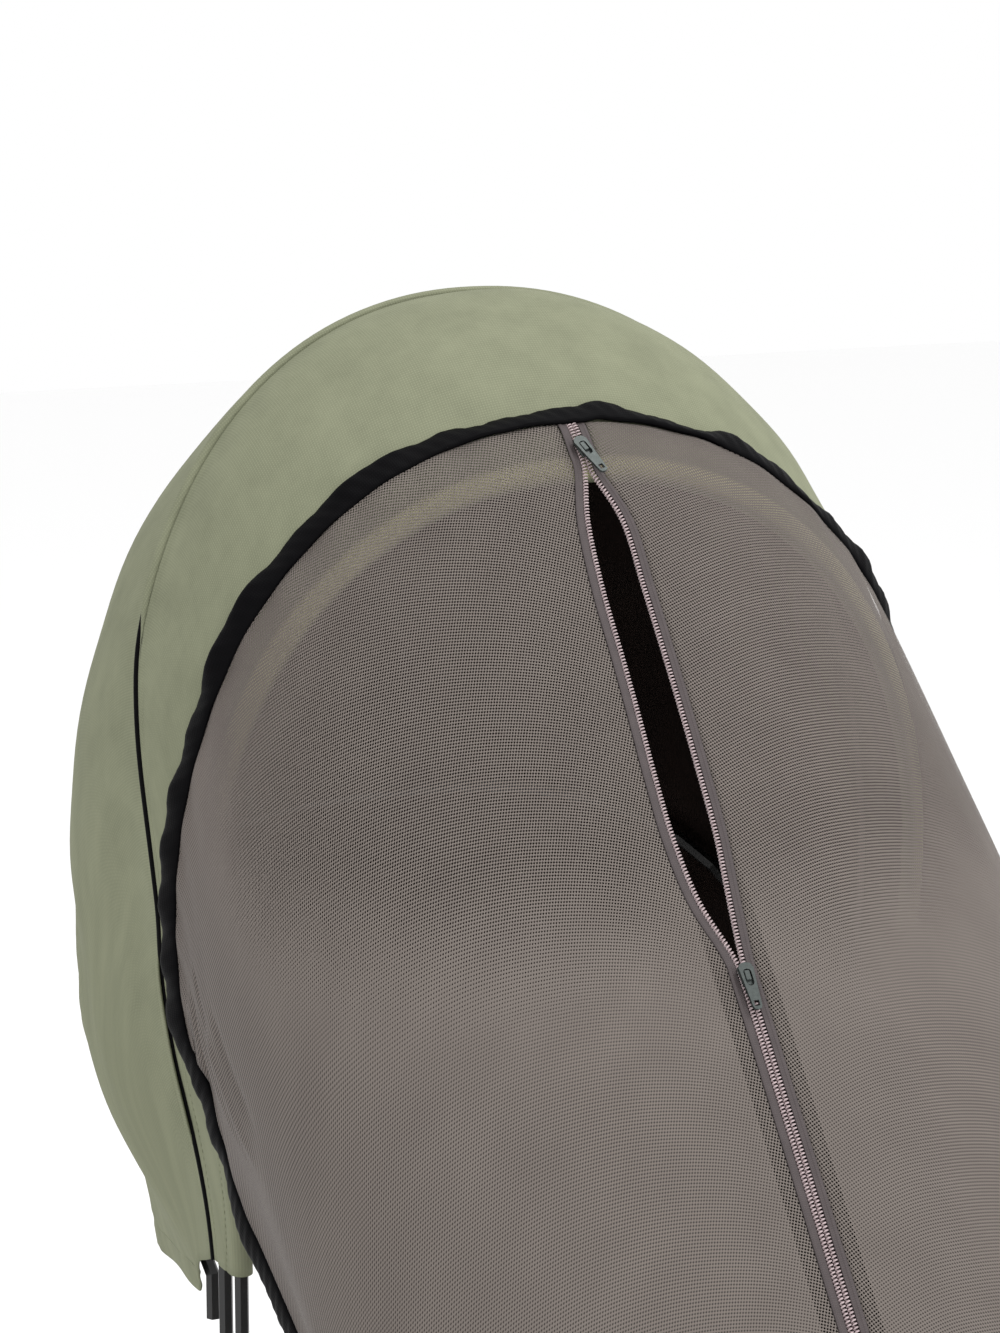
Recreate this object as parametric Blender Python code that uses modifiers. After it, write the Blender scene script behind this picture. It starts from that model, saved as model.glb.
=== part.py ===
"""Stroller mosquito net stretched over the hoops of its canopy hood.

Metres, +Z up, the front faces -Y and the part is symmetric about X = 0. The tables
are drawn from the hood's hinge line, and every point is then moved so that the origin
is the underside of the middle hoop, the place where the hood is held up.
"""
import math

import bmesh
import bpy
import numpy as np
from mathutils import Matrix, Vector
from mathutils.bvhtree import BVHTree

# Where the origin lies, seen from the hinge line
ORIGIN_Y = 0.1178
ORIGIN_Z = 0.4949

# Cloth, hoops and trim
NET_THICKNESS = 0.0012
CANVAS_THICKNESS = 0.0015
HOOP_RADIUS = 0.0040
PIPING_RADIUS = 0.0020
SEAT_GAP = 0.0003
CURL_CLEARANCE = 0.0008
CURL_END = math.radians(205)
BINDING_WIDTH = 0.0110
BINDING_HEIGHT = 0.0045
BINDING_PUCKER = 0.0012
PUCKER_LENGTH = 0.036
EDGE_GAP = 0.0005
REAR_SLANT = 1.6
NET_LIFT = 0.0044
BINDING_LIFT = 0.0041
FRONT_FOOT_Z = -0.060
OTHER_FOOT_Z = -0.045
# A point well inside the hood, seen from the hinge line
HOOD_MIDDLE = (0.0, 0.05, 0.25)

# Zip, a coil zip with a 6 mm chain
COIL_RADIUS = 0.00145
CLOSED_LIP = 0.0016
TAPE_WIDTH = 0.0045
TAPE_THICKNESS = 0.0010
GUARD_WIDTH = 0.040
GUARD_THICKNESS = 0.0010
GUARD_DEPTH = 0.0021
ZIP_TOP_STATION = 0.95
LENS_START = 1.10
LENS_END = 3.60
ZIP_LOWER_STATION = 3.66
SLIDER_LENGTH = 0.0100
SLIDER_WIDTH = 0.0084
SLIDER_TAPER = 0.76
SLIDER_PLATE = 0.0012
SLIDER_BEVEL = 0.0003
CROWN_SIZE = (0.0030, 0.0054, 0.0022)
PULL_LENGTH = 0.0235
PULL_THICKNESS = 0.0014
PULL_HALF_TOP = 0.0042
PULL_HALF_BOTTOM = 0.0025
SLOT_HALF = 0.0022
SLOT_LENGTH = 0.0105
PULL_HOLE = 0.0030
PULL_HOLE_FROM_END = 0.0042
PULL_MARGIN = 0.0012
PULL_STEPS = 5
ROUND_END = 0.7
TOP_LEAN = math.radians(18)

# Mesh density
VISOR_START = 0.45
REAR_START = 0.35
CURL_STEPS = 5
VISOR_STEPS = 4
REAR_STEPS = 9
NET_ACROSS = 16
HOOD_ACROSS = 32
GUARD_ACROSS = 4
BINDING_SPLIT = 3
ARC_SHARE = 0.72

# Net sections, from the arch on the hood to the foot:
# centre y, centre z, edge y, edge z, half width, half width at the edge, depth share of the
# widest place, squareness
NET_ROWS = [
    (-0.004, 0.446, 0.004, 0.130, 0.224, 0.214, 0.80, 2.15),
    (-0.020, 0.430, -0.014, 0.112, 0.225, 0.214, 0.78, 2.20),
    (-0.088, 0.340, -0.039, 0.073, 0.227, 0.214, 0.70, 2.40),
    (-0.158, 0.250, -0.093, 0.039, 0.228, 0.214, 0.66, 2.50),
    (-0.228, 0.160, -0.151, 0.001, 0.228, 0.213, 0.66, 2.50),
    (-0.297, 0.070, -0.200, -0.049, 0.226, 0.211, 0.66, 2.50),
    (-0.364, -0.020, -0.245, -0.114, 0.222, 0.207, 0.66, 2.50),
    (-0.426, -0.120, -0.282, -0.187, 0.216, 0.202, 0.66, 2.50),
    (-0.475, -0.220, -0.320, -0.260, 0.208, 0.194, 0.66, 2.50),
    (-0.498, -0.300, -0.375, -0.315, 0.198, 0.184, 0.66, 2.50),
    (-0.494, -0.345, -0.390, -0.345, 0.190, 0.176, 0.66, 2.50),
]

# Hood sections, from the front rim to the bottom hem at the back, same columns
HOOD_ROWS = [
    (-0.016, 0.427, -0.006, 0.000, 0.220, 0.200, 0.56, 2.15),
    (0.050, 0.487, 0.008, 0.000, 0.224, 0.200, 0.56, 2.15),
    (0.120, 0.505, 0.020, 0.000, 0.227, 0.200, 0.56, 2.15),
    (0.195, 0.445, 0.034, -0.005, 0.236, 0.200, 0.58, 2.35),
    (0.235, 0.330, 0.046, -0.010, 0.236, 0.200, 0.60, 2.50),
    (0.245, 0.200, 0.050, -0.020, 0.222, 0.198, 0.60, 2.60),
    (0.238, 0.080, 0.052, -0.026, 0.200, 0.196, 0.60, 2.60),
    (0.222, -0.040, 0.054, -0.030, 0.188, 0.196, 0.60, 2.60),
]
RIM, CREST, REAR_BOW = 0, 2, 5

# Low on each side the crest seam swings towards the rim: share of the section from its side
# edge, and how far in stations
SEAM_SWING = [(0.085, 0.0), (0.125, 0.40), (0.155, 0.85), (0.188, 0.66), (0.22, 0.30), (0.26, 0.0)]

# Zip opening between the sliders, in equal steps: left lip, right lip, in mm from the zip line
LENS_ROWS = [
    (1.6, 1.6), (9.0, 11.5), (12.0, 12.0), (12.5, 12.0), (13.5, 11.5),
    (15.0, 10.5), (15.5, 9.0), (12.0, 5.0), (1.6, 1.6),
]


def net_stations():
    """Stations along the net: close together round the hood rim and the zip opening."""
    return np.concatenate([
        np.linspace(0.0, 1.0, 4),
        np.linspace(LENS_START, LENS_END, 12),
        np.linspace(3.85, len(NET_ROWS) - 1, 15),
    ])


def clear_scene():
    for item in list(bpy.data.objects):
        bpy.data.objects.remove(item, do_unlink=True)
    for group in list(bpy.data.collections):
        bpy.data.collections.remove(group)


def collection(name):
    group = bpy.data.collections.new(name)
    bpy.context.scene.collection.children.link(group)
    return group


def material(name, colour, roughness, metallic=0.0):
    made = bpy.data.materials.get(name) or bpy.data.materials.new(name)
    made.use_nodes = True
    shader = made.node_tree.nodes["Principled BSDF"]
    shader.inputs["Base Color"].default_value = (*colour, 1.0)
    shader.inputs["Roughness"].default_value = roughness
    shader.inputs["Metallic"].default_value = metallic
    made.diffuse_color = (*colour, 1.0)
    return made


def net_mesh_material():
    return material("knitted_mesh", (0.19, 0.17, 0.155), 0.85)


def canvas_material():
    return material("sage_canvas", (0.36, 0.38, 0.27), 0.9)


def black_trim_material():
    return material("black_elastic", (0.012, 0.012, 0.013), 0.8)


def coil_material():
    return material("zip_coil_nylon", (0.30, 0.25, 0.25), 0.5)


def metal_material():
    return material("slider_metal", (0.17, 0.20, 0.19), 0.35, 0.8)


def tube_material():
    return material("hoop_tube", (0.02, 0.02, 0.02), 0.45)


def blend(rows, position):
    """Smooth (Catmull-Rom) reading of a table at a fractional row."""
    table = np.array(rows, dtype=float)
    last = len(table) - 1
    start = int(min(max(math.floor(position), 0), last - 1))
    t = position - start
    before, after = table[max(start - 1, 0)], table[min(start + 2, last)]
    first, second = table[start], table[start + 1]
    slope_in, slope_out = (second - before) / 2, (after - first) / 2
    return ((2 * t**3 - 3 * t**2 + 1) * first + (t**3 - 2 * t**2 + t) * slope_in
            + (3 * t**2 - 2 * t**3) * second + (t**3 - t**2) * slope_out)


def half_section(row, inset=0.0, count=81):
    """Dense line of the right half of a section, from its centre top to its side edge."""
    centre_y, centre_z, edge_y, edge_z, half_width, edge_width, share, square = row
    down = np.array([edge_y - centre_y, edge_z - centre_z])
    depth = np.linalg.norm(down)
    down = down / depth
    shoulder = share * depth - inset
    half_width, edge_width = half_width - inset, edge_width - inset
    points = []
    for t in np.linspace(0.0, 1.0, count):
        if t <= ARC_SHARE:
            turn = t / ARC_SHARE * math.pi / 2
            x = half_width * math.sin(turn) ** (2 / square)
            fall = inset + shoulder * (1 - math.cos(turn) ** (2 / square))
        else:
            rest = (t - ARC_SHARE) / (1 - ARC_SHARE)
            x = half_width + (edge_width - half_width) * (1 - math.cos(math.pi * rest)) / 2
            fall = inset + shoulder + (depth - inset - shoulder) * rest
        points.append((x, centre_y + down[0] * fall - ORIGIN_Y, centre_z + down[1] * fall - ORIGIN_Z))
    return np.array(points)


def arc_lengths(line):
    return np.concatenate([[0.0], np.cumsum(np.linalg.norm(np.diff(line, axis=0), axis=1))])


def read_line(line, distances):
    """Points at given distances along a line."""
    lengths = arc_lengths(line)
    return np.stack([np.interp(distances, lengths, line[:, axis]) for axis in range(3)], axis=1)


def whole_section(row, pieces, inset=0.0):
    """A section from left edge to right edge in equal steps."""
    half = half_section(row, inset)
    right = read_line(half, np.linspace(0.0, arc_lengths(half)[-1], pieces // 2 + 1))
    left = right[::-1] * np.array([-1.0, 1.0, 1.0])
    return np.vstack([left, right[1:]])


def grid_faces(rows, columns):
    return [
        (r * columns + c, r * columns + c + 1, (r + 1) * columns + c + 1, (r + 1) * columns + c)
        for r in range(rows - 1) for c in range(columns - 1)
    ]


def mesh_object(name, points, faces, surface, group):
    mesh = bpy.data.meshes.new(name)
    mesh.from_pydata([tuple(map(float, p)) for p in points], [], faces)
    work = bmesh.new()
    work.from_mesh(mesh)
    bmesh.ops.recalc_face_normals(work, faces=work.faces)
    work.to_mesh(mesh)
    work.free()
    mesh.shade_smooth()
    mesh.materials.append(surface)
    made = bpy.data.objects.new(name, mesh)
    group.objects.link(made)
    return made


def sheet(name, grid, thickness, surface, group):
    """A cloth piece: an open surface thickened evenly to both sides."""
    rows, columns = grid.shape[:2]
    made = mesh_object(name, grid.reshape(-1, 3), grid_faces(rows, columns), surface, group)
    skin = made.modifiers.new("thickness", "SOLIDIFY")
    skin.thickness = thickness
    skin.offset = 0.0
    skin.use_even_offset = True
    return made


def tube(name, line, radius, surface, group, sides_step=1):
    """A round tube along a line of points."""
    curve = bpy.data.curves.new(name, "CURVE")
    curve.dimensions = "3D"
    curve.bevel_depth = radius
    curve.bevel_resolution = sides_step
    curve.use_fill_caps = True
    spline = curve.splines.new("POLY")
    spline.points.add(len(line) - 1)
    for point, place in zip(spline.points, line):
        point.co = (*map(float, place), 1.0)
    curve.materials.append(surface)
    made = bpy.data.objects.new(name, curve)
    group.objects.link(made)
    return made


def ring_loft(name, rings, surface, group):
    """A closed loop of equal rings, joined last to first."""
    count, sides = rings.shape[:2]
    faces = [
        (i * sides + j, i * sides + (j + 1) % sides,
         (i + 1) % count * sides + (j + 1) % sides, (i + 1) % count * sides + j)
        for i in range(count) for j in range(sides)
    ]
    return mesh_object(name, rings.reshape(-1, 3), faces, surface, group)


def unit(vectors):
    return vectors / np.linalg.norm(vectors, axis=-1, keepdims=True)


# Hood

def hoop_line(station, inset, foot_z):
    """A hoop's centre line: a section drawn in, with straight feet below the cloth."""
    arch = whole_section(blend(HOOD_ROWS, station), HOOD_ACROSS, inset)
    feet = [np.array([[end[0], end[1], foot_z - ORIGIN_Z]]) for end in (arch[0], arch[-1])]
    return np.vstack([feet[0], arch, feet[1]])


def front_inset():
    return HOOP_RADIUS + CURL_CLEARANCE + CANVAS_THICKNESS / 2


def crest_inset():
    return PIPING_RADIUS + SEAT_GAP + HOOP_RADIUS


def seam_stations():
    """Station of the crest seam in each column of the hood."""
    share = np.linspace(0.0, 1.0, HOOD_ACROSS + 1)
    at, swing = np.array(SEAM_SWING).T
    return CREST - np.interp(np.minimum(share, 1.0 - share), at, swing)


def hood_row(stations):
    """One point in each column of the hood, each at its own station."""
    return np.array([whole_section(blend(HOOD_ROWS, station), HOOD_ACROSS)[column]
                     for column, station in enumerate(stations)])


def visor_grid():
    """Visor from the hem end inside the rim, round the front hoop and up to the crest."""
    inset = front_inset()
    hoop = whole_section(blend(HOOD_ROWS, RIM), HOOD_ACROSS, inset)
    outer = whole_section(blend(HOOD_ROWS, RIM), HOOD_ACROSS)
    along = unit(np.gradient(hoop, axis=0))
    outward = outer - hoop
    outward = unit(outward - along * np.einsum("ij,ij->i", outward, along)[:, None])
    forward = unit(np.cross(outward, along))
    forward *= -np.sign(forward[:, 1:2])
    next_row = whole_section(blend(HOOD_ROWS, VISOR_START), HOOD_ACROSS)
    rise = np.einsum("ij,ij->i", next_row - hoop, outward) - inset
    run = -np.einsum("ij,ij->i", next_row - hoop, forward)
    leave = np.clip(np.arctan2(rise, run), 0.0, math.radians(50))
    rows = []
    for share in np.linspace(0.0, 1.0, CURL_STEPS):
        turn = (CURL_END * (1 - share) + leave * share)[:, None]
        rows.append(hoop + inset * (np.cos(turn) * outward + np.sin(turn) * forward))
    for share in np.linspace(0.0, 1.0, VISOR_STEPS, endpoint=False):
        rows.append(hood_row(VISOR_START * (1 - share) + seam_stations() * share))
    rows.append(crest_side(-1))
    return np.stack(rows)


def crest_side(side):
    """Edge of the cloth that meets the piping, in front of (-1) or behind (+1) the crest."""
    crest = hood_row(seam_stations())
    along = unit(np.gradient(crest, axis=0))
    away = hood_row(seam_stations() + 0.5 * side) - crest
    away = unit(away - along * np.einsum("ij,ij->i", away, along)[:, None])
    return crest + away * (PIPING_RADIUS + SEAT_GAP)


def rear_grid():
    rows = [crest_side(1)]
    for share in np.linspace(0.0, 1.0, REAR_STEPS):
        start = seam_stations() + REAR_START
        rows.append(hood_row(start * (1 - share) + (len(HOOD_ROWS) - 1) * share))
    return np.stack(rows)


def build_hood(group):
    canvas, black, tube_black = canvas_material(), black_trim_material(), tube_material()
    sheet("hood_visor", visor_grid(), CANVAS_THICKNESS, canvas, group)
    sheet("hood_rear", rear_grid(), CANVAS_THICKNESS, canvas, group)
    tube("hood_piping", hood_row(seam_stations()), PIPING_RADIUS, black, group)
    rear_inset = REAR_SLANT * (CANVAS_THICKNESS / 2 + SEAT_GAP + HOOP_RADIUS)
    tube("hoop_front", hoop_line(RIM, front_inset(), FRONT_FOOT_Z), HOOP_RADIUS, tube_black, group)
    tube("hoop_middle", hoop_line(CREST, crest_inset(), OTHER_FOOT_Z), HOOP_RADIUS, tube_black, group)
    tube("hoop_rear", hoop_line(REAR_BOW, rear_inset, OTHER_FOOT_Z), HOOP_RADIUS, tube_black, group)


def hood_tree():
    """The visor's middle surface, for seating the net and its casing on it."""
    grid = visor_grid()
    rows, columns = grid.shape[:2]
    points = [Vector(p) for p in grid.reshape(-1, 3)]
    return BVHTree.FromPolygons(points, grid_faces(rows, columns))


# Net

def lip(station, side):
    """Distance from the zip line to the middle of a coil."""
    share = (station - LENS_START) / (LENS_END - LENS_START)
    if not 0 < share < 1:
        return CLOSED_LIP
    left, right = blend(LENS_ROWS, share * (len(LENS_ROWS) - 1)) / 1000
    return max(left if side < 0 else right, CLOSED_LIP)


def tape_edges(station, side):
    inner = lip(station, side) + COIL_RADIUS + SEAT_GAP
    return inner, inner + TAPE_WIDTH


class NetSurface:
    """The net's middle surface, kept clear of the hood's rim."""

    def __init__(self):
        self.tree = hood_tree()
        self.inside = Vector(HOOD_MIDDLE) - Vector((0.0, ORIGIN_Y, ORIGIN_Z))

    def nearest(self, point):
        """Nearest point of the visor and the direction out of the hood there."""
        near, normal, _, _ = self.tree.find_nearest(Vector(point))
        return near, normal if normal.dot(near - self.inside) > 0 else -normal

    def lifted(self, point, clearance):
        """The point, moved out where it is closer to the visor than the clearance."""
        place = Vector(point)
        near, normal = self.nearest(point)
        height = (place - near).dot(normal)
        beside = ((place - near) - normal * height).length
        if height < clearance and beside < clearance:
            place += normal * (clearance - height)
        return np.array(place)

    def seated(self, point, clearance):
        """The point, set at the clearance above the visor."""
        near, normal = self.nearest(point)
        return np.array(near + normal * clearance)

    def line(self, station, side, distances):
        """Points of one section, lifted clear of the hood."""
        half = half_section(blend(NET_ROWS, station))
        points = read_line(half, distances) * np.array([side, 1.0, 1.0])
        if station == 0:
            return np.array([self.seated(p, BINDING_LIFT) for p in points])
        if station < 2.5:
            return np.array([self.lifted(p, NET_LIFT) for p in points])
        return points

    def length(self, station):
        return arc_lengths(half_section(blend(NET_ROWS, station)))[-1]

    def normal(self, station, side, distance):
        """Outward normal of the smooth section family."""
        step = 0.02
        low, high = max(station - step, 0.0), min(station + step, len(NET_ROWS) - 1)
        reach = self.length(station)
        share = min(max(distance / reach, 0.004), 0.996)
        mirror = np.array([side, 1.0, 1.0])

        def spot(at, part):
            return read_line(half_section(blend(NET_ROWS, at)), [self.length(at) * part])[0] * mirror

        along = spot(high, share) - spot(low, share)
        across = spot(station, share + 0.004) - spot(station, share - 0.004)
        return unit(np.cross(along, across)) * side


def panel_grid(net, side):
    rows = []
    for station in net_stations():
        inner = tape_edges(station, side)[1] + SEAT_GAP
        rows.append(net.line(station, side, np.linspace(inner, net.length(station), NET_ACROSS + 1)))
    return np.stack(rows)


def build_net_panels(net, group):
    for side, label in ((-1, "left"), (1, "right")):
        sheet(f"net_panel_{label}", panel_grid(net, side), NET_THICKNESS, net_mesh_material(), group)


def build_zip(net, group):
    stations = net_stations()
    for side, label in ((-1, "left"), (1, "right")):
        tape = np.stack([net.line(s, side, np.array(tape_edges(s, side))) for s in stations])
        sheet(f"zip_tape_{label}", tape, TAPE_THICKNESS, net_mesh_material(), group)
        coil = np.stack([net.line(s, side, np.array([lip(s, side)]))[0] for s in stations])
        tube(f"zip_coil_{label}", coil, COIL_RADIUS, coil_material(), group)
    build_guard(net, group)


def build_guard(net, group):
    """Strip behind the closed part of the zip, sewn to the back of the net."""
    stations = net_stations()
    stations = stations[stations > ZIP_LOWER_STATION]
    reach = np.linspace(-GUARD_WIDTH / 2, GUARD_WIDTH / 2, GUARD_ACROSS + 1)
    rows = []
    for station in stations:
        inward = -net.normal(station, 1, 0.0) * GUARD_DEPTH
        rows.append([net.line(station, 1 if d >= 0 else -1, np.array([abs(d)]))[0] + inward for d in reach])
    sheet("zip_guard", np.array(rows), GUARD_THICKNESS, black_trim_material(), group)


def border(net):
    """The net's edge as one closed loop, with the outward normal at each point."""
    arch, normals = [], []
    for side in (-1, 1):
        inner = tape_edges(0.0, side)[1] + SEAT_GAP
        distances = np.linspace(inner, net.length(0.0), NET_ACROSS + 1)
        points = net.line(0.0, side, distances)
        facing = [net.normal(0.0, side, d) for d in distances]
        if side < 0:
            points, facing = points[::-1], facing[::-1]
        arch.extend(points)
        normals.extend(facing)
    loop, facing = [], []
    for start in range(len(arch) - 1):
        for part in np.linspace(0.0, 1.0, BINDING_SPLIT + 1)[:-1]:
            loop.append(arch[start] * (1 - part) + arch[start + 1] * part)
            facing.append(normals[start] * (1 - part) + normals[start + 1] * part)
    stations = net_stations()
    final = stations[-1]
    for station in stations[:-1]:
        loop.append(net.line(station, 1, np.array([net.length(station)]))[0])
        facing.append(net.normal(station, 1, net.length(station)))
    inner = tape_edges(final, 1)[1] + SEAT_GAP
    reach = np.linspace(inner, net.length(final), NET_ACROSS + 1)
    for side, distances in ((1, reach[::-1]), (-1, reach)):
        loop.extend(net.line(final, side, distances))
        facing.extend(net.normal(final, side, d) for d in distances)
    for station in stations[-2:0:-1]:
        loop.append(net.line(station, -1, np.array([net.length(station)]))[0])
        facing.append(net.normal(station, -1, net.length(station)))
    return np.array(loop), unit(np.array(facing))


def build_binding(net, group):
    """Elastic casing round the whole edge, drawn up in small puckers over the hood."""
    loop, facing = border(net)
    into = unit(loop - np.roll(loop, 1, axis=0))
    out = unit(np.roll(loop, -1, axis=0) - loop)
    along = unit(into + out)
    facing = unit(facing - along * np.einsum("ij,ij->i", facing, along)[:, None])
    away = np.cross(facing, along)
    miter = 1 / np.clip(np.einsum("ij,ij->i", into, along), 0.75, 1.0)
    travelled = arc_lengths(loop)
    rings = []
    for i, point in enumerate(loop):
        swell = math.sin(2 * math.pi * travelled[i] / PUCKER_LENGTH)
        width = BINDING_WIDTH + BINDING_PUCKER * swell
        height = BINDING_HEIGHT + 0.25 * BINDING_PUCKER * swell
        middle = point + away[i] * miter[i] * (EDGE_GAP + width / 2)
        middle = net.lifted(middle, BINDING_LIFT)
        turns = np.linspace(0, 2 * math.pi, 6, endpoint=False)
        rings.append([middle + away[i] * math.cos(a) * width / 2 + facing[i] * math.sin(a) * height / 2
                      for a in turns])
    ring_loft("edge_binding", np.array(rings), black_trim_material(), group)


# Sliders

def box(name, size, centre, group):
    bpy.ops.mesh.primitive_cube_add(size=1.0, location=(0.0, 0.0, 0.0))
    made = bpy.context.object
    made.name = name
    for corner in made.data.vertices:
        corner.co = Vector([corner.co[k] * size[k] + centre[k] for k in range(3)])
    for owner in made.users_collection:
        owner.objects.unlink(made)
    group.objects.link(made)
    return made


def zip_frame(net, station, open_towards_foot):
    """Place on the zip line with local Y to the open side of the zip and Z outward."""
    here = Vector(net.line(station, 1, np.array([0.0]))[0])
    there = Vector(net.line(station + 0.1, 1, np.array([0.0]))[0])
    outward = Vector(net.normal(station, 1, 0.0))
    towards = (there - here).normalized() * (1 if open_towards_foot else -1)
    across = towards.cross(outward).normalized()
    turned = Matrix((across, towards, across.cross(towards))).transposed().to_4x4()
    return Matrix.Translation(here) @ turned


def build_slider(name, frame, group, helpers):
    """Tapered plate on the coils, with the crown that holds the pull."""
    above = COIL_RADIUS + SEAT_GAP
    body = box(name, (SLIDER_WIDTH, SLIDER_LENGTH, SLIDER_PLATE), (0.0, 0.0, above + SLIDER_PLATE / 2), group)
    for corner in body.data.vertices:
        if corner.co.y < 0:
            corner.co.x *= SLIDER_TAPER
    crown = box(f"{name}_crown", CROWN_SIZE, (0.0, 0.0, above + SLIDER_PLATE / 2 + CROWN_SIZE[2] / 2), helpers)
    crown.hide_render = True
    crown.display_type = "WIRE"
    join = body.modifiers.new("crown", "BOOLEAN")
    join.operation = "UNION"
    join.object = crown
    edge = body.modifiers.new("edges", "BEVEL")
    edge.width = SLIDER_BEVEL
    edge.segments = 1
    body.data.materials.append(metal_material())
    body.matrix_world = frame
    crown.matrix_world = frame


def rounded_outline(half_top, half_bottom, top, bottom):
    """Tapered strip with round ends, as points going round once."""
    points = []
    for centre, radius, first in ((top, half_top, 0.0), (bottom, half_bottom, math.pi)):
        for turn in np.linspace(first, first + math.pi, PULL_STEPS):
            points.append((radius * math.cos(turn), centre + ROUND_END * radius * math.sin(turn)))
    return points


def build_pull(name, frame, turn, group):
    """Flat tapered pull: a slot round the crown at the top, a square hole at the end."""
    curve = bpy.data.curves.new(name, "CURVE")
    curve.dimensions = "2D"
    curve.fill_mode = "BOTH"
    curve.extrude = PULL_THICKNESS / 2
    slot_top = CROWN_SIZE[1] / 2 + PULL_MARGIN
    end = slot_top - PULL_LENGTH
    square, square_y = PULL_HOLE / 2, end + PULL_HOLE_FROM_END
    outlines = [
        rounded_outline(PULL_HALF_TOP, PULL_HALF_BOTTOM, slot_top, end + PULL_HALF_BOTTOM),
        rounded_outline(SLOT_HALF, SLOT_HALF, slot_top - SLOT_HALF, slot_top - SLOT_LENGTH + SLOT_HALF),
        [(square, square_y + square), (-square, square_y + square),
         (-square, square_y - square), (square, square_y - square)],
    ]
    for outline in outlines:
        spline = curve.splines.new("POLY")
        spline.points.add(len(outline) - 1)
        for point, (x, y) in zip(spline.points, outline):
            point.co = (x, y, 0.0, 1.0)
        spline.use_cyclic_u = True
    curve.materials.append(metal_material())
    made = bpy.data.objects.new(name, curve)
    group.objects.link(made)
    height = COIL_RADIUS + 2 * SEAT_GAP + SLIDER_PLATE + PULL_THICKNESS / 2
    made.matrix_world = frame @ Matrix.Translation((0.0, 0.0, height)) @ Matrix.Rotation(turn, 4, "Z")


def build_sliders(net, group, helpers):
    for label, station, opens_down, lean, turn in (
            ("top", ZIP_TOP_STATION, True, TOP_LEAN, math.pi),
            ("lower", ZIP_LOWER_STATION, False, 0.0, 0.0)):
        frame = zip_frame(net, station, opens_down) @ Matrix.Rotation(lean, 4, "Z")
        build_slider(f"zip_slider_{label}", frame, group, helpers)
        build_pull(f"zip_pull_{label}", frame, turn, group)


def main():
    clear_scene()
    group = collection("stroller_mosquito_net")
    helpers = collection("helpers")
    build_hood(group)
    net = NetSurface()
    build_net_panels(net, group)
    build_zip(net, group)
    build_binding(net, group)
    build_sliders(net, group, helpers)


main()
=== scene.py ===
import math

import bmesh
import bpy
import numpy as np
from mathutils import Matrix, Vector, noise
from mathutils.bvhtree import BVHTree


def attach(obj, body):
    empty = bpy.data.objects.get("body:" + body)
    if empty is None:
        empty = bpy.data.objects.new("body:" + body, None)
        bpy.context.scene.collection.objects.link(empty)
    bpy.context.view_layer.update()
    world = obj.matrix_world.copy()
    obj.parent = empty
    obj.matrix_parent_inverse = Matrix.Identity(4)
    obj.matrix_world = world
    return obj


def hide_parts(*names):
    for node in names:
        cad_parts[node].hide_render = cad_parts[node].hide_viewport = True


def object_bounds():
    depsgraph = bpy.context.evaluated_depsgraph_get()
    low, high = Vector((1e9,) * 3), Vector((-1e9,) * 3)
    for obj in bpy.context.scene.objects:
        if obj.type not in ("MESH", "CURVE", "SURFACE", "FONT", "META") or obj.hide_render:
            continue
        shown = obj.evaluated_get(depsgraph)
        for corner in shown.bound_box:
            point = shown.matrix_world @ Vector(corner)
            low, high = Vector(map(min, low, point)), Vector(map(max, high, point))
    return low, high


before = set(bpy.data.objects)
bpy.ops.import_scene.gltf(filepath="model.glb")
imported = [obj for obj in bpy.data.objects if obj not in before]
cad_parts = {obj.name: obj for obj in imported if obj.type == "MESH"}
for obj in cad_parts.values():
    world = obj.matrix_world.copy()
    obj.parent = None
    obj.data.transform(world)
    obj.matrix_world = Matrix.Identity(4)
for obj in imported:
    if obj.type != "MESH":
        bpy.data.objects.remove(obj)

CAD_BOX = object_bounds()


# Hoops of the hood
# Three bent steel tubes, 8 mm across and powder coated black, pivot together at the hinge.
# Only their feet show below the cloth, so the modelled tubes stay and get their coating.

def linear(hex_colour):
    """Linear RGB of an sRGB hex colour."""
    parts = [int(hex_colour[i:i + 2], 16) / 255 for i in (1, 3, 5)]
    return tuple(v / 12.92 if v <= 0.04045 else ((v + 0.055) / 1.055) ** 2.4 for v in parts)


def colour(hex_colour):
    return (*linear(hex_colour), 1.0)


def add(material, kind, settings=None, links=None):
    """Add a node, set its values and link its inputs."""
    tree = material.node_tree
    node = tree.nodes.new(kind)
    for key, value in (settings or {}).items():
        if isinstance(key, str) and hasattr(node, key):
            setattr(node, key, value)
        else:
            node.inputs[key].default_value = value
    for key, source in (links or {}).items():
        tree.links.new(source, node.inputs[key])
    return node


def new_material(name, roughness, metallic=0.0):
    """A material with its Principled shader, whose uniform values sit on its own sockets."""
    made = bpy.data.materials.new(name)
    made.use_nodes = True
    shader = made.node_tree.nodes["Principled BSDF"]
    shader.inputs["Roughness"].default_value = roughness
    shader.inputs["Metallic"].default_value = metallic
    return made, shader


def powder_coated_steel():
    # Satin black with the faint orange peel of a baked powder coat
    made, shader = new_material("powder_coated_steel", 0.42)
    place = add(made, "ShaderNodeTexCoord")
    peel = add(made, "ShaderNodeTexNoise", {"Scale": 900.0, "Detail": 2.0}, {"Vector": place.outputs["Object"]})
    tint = add(made, "ShaderNodeMix", {"data_type": "RGBA", 6: colour("#141414"), 7: colour("#202020")},
               {0: peel.outputs["Fac"]})
    bump = add(made, "ShaderNodeBump", {"Strength": 0.08, "Distance": 0.0002}, {"Height": peel.outputs["Fac"]})
    made.node_tree.links.new(tint.outputs[2], shader.inputs["Base Color"])
    made.node_tree.links.new(bump.outputs["Normal"], shader.inputs["Normal"])
    return made


coated = powder_coated_steel()
for node in ("hoop_front", "hoop_middle", "hoop_rear"):
    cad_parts[node].data.materials.clear()
    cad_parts[node].data.materials.append(coated)


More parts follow.
